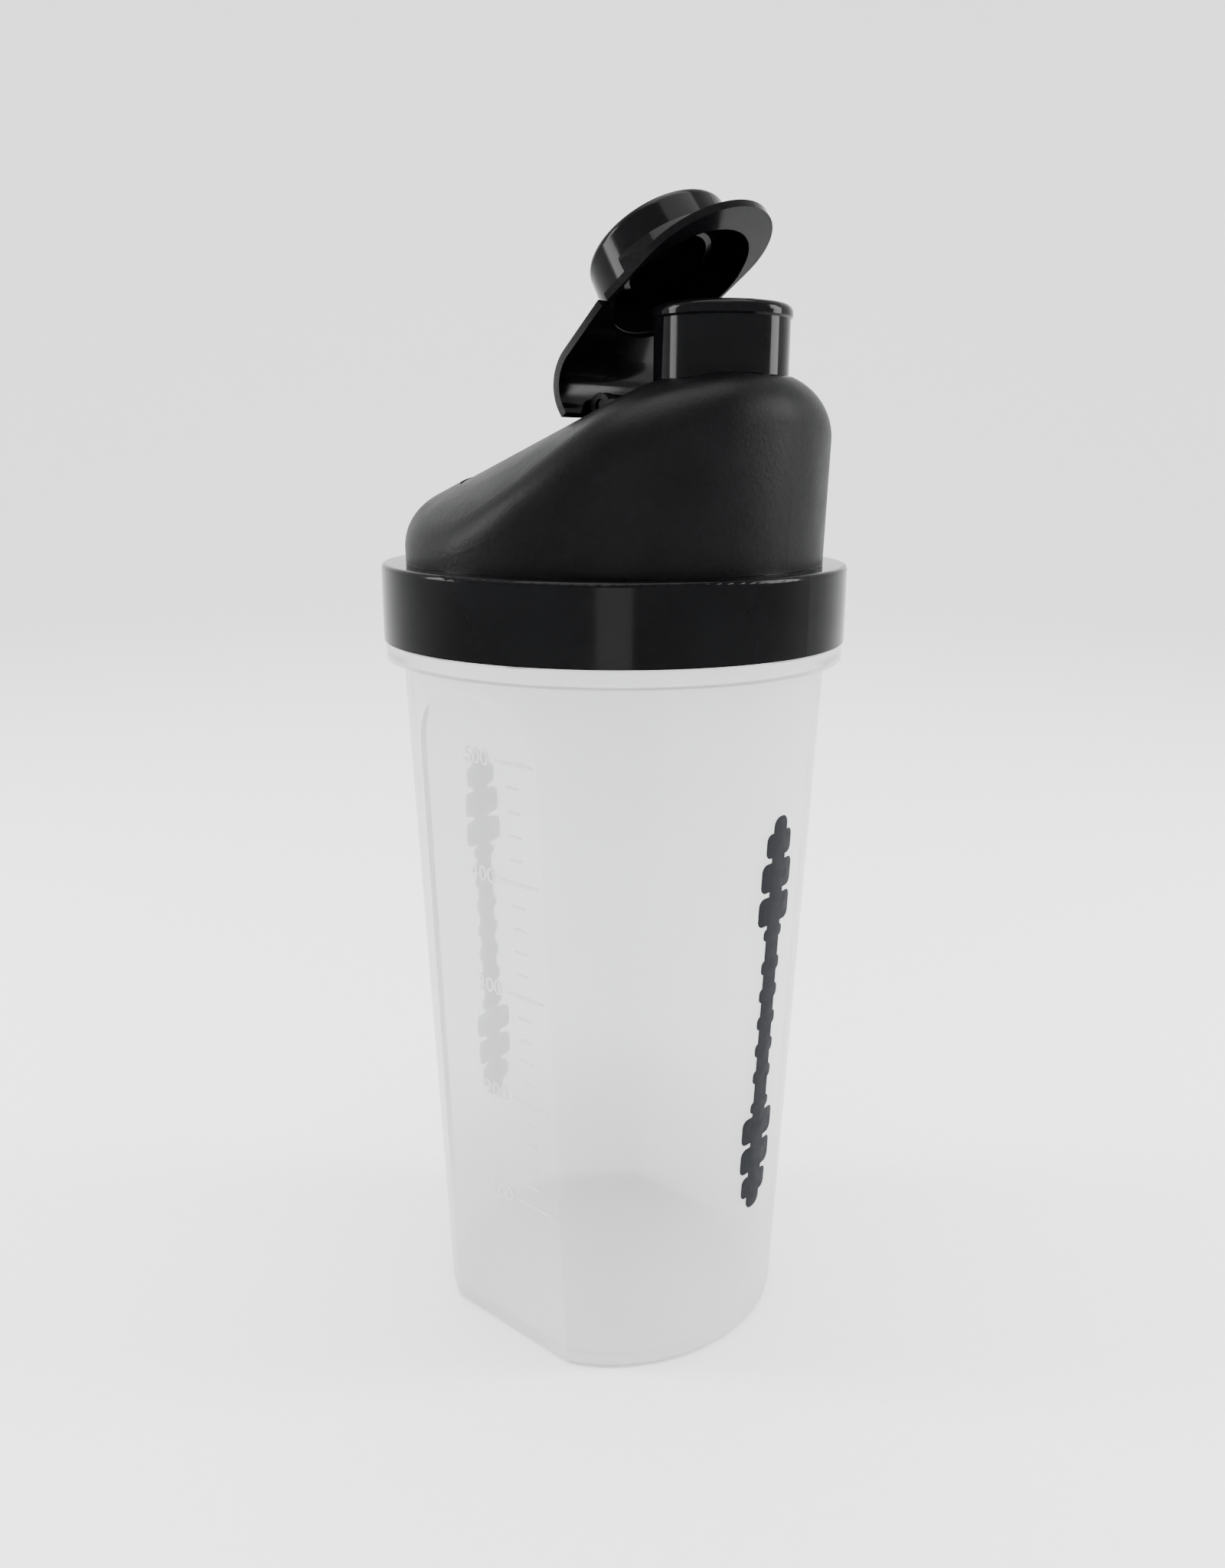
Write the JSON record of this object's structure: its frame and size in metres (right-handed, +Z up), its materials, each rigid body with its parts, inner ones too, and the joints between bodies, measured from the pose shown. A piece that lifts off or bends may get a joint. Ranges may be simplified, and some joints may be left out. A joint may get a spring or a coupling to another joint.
{
  "type": "protein shaker bottle",
  "caption": "Protein shaker bottle with a frosted cup, a black screw lid with an offset drinking spout, a hinged flip cap standing open, and a clip-in strainer.",
  "frame": {"origin": "centre of the cup's base, on the surface it stands on", "axes": "+Z up; +X towards the drinking spout; the cup's two flat grips face +Y and -Y"},
  "size_m": [0.096, 0.096, 0.2362],
  "materials": {
    "cup": "frosted translucent polypropylene",
    "strainer": "black polypropylene",
    "lid": "fine-grained black dome, polished skirt and spout",
    "flip_cap": "polished black polypropylene"
  },
  "bodies": {
    "cup_body": {"cup": "cup"},
    "strainer_body": {"strainer": "strainer"},
    "lid_body": {"lid": "lid"},
    "cap_body": {"flip_cap": "flip_cap"}
  },
  "joints": [
    {"name": "strainer_rise", "type": "slide", "parent": "cup_body", "child": "strainer_body", "axis": [0, 0, 1], "range_m": [0, 0.0076]},
    {"name": "lid_turn", "type": "hinge", "parent": "strainer_body", "child": "lid_body", "pos_m": [0, 0, 0.16], "axis": [0, 0, 1], "range_deg": [0, 540]},
    {"name": "cap_flip", "type": "hinge", "parent": "lid_body", "child": "cap_body", "pos_m": [0.00516, 0, 0.19816], "axis": [0, -1, 0], "range_deg": [-34.5, 55.5]}
  ],
  "couplings": [
    {"joint": "strainer_rise", "follows": "lid_turn", "m_per_rad": 0.00079577}
  ]
}
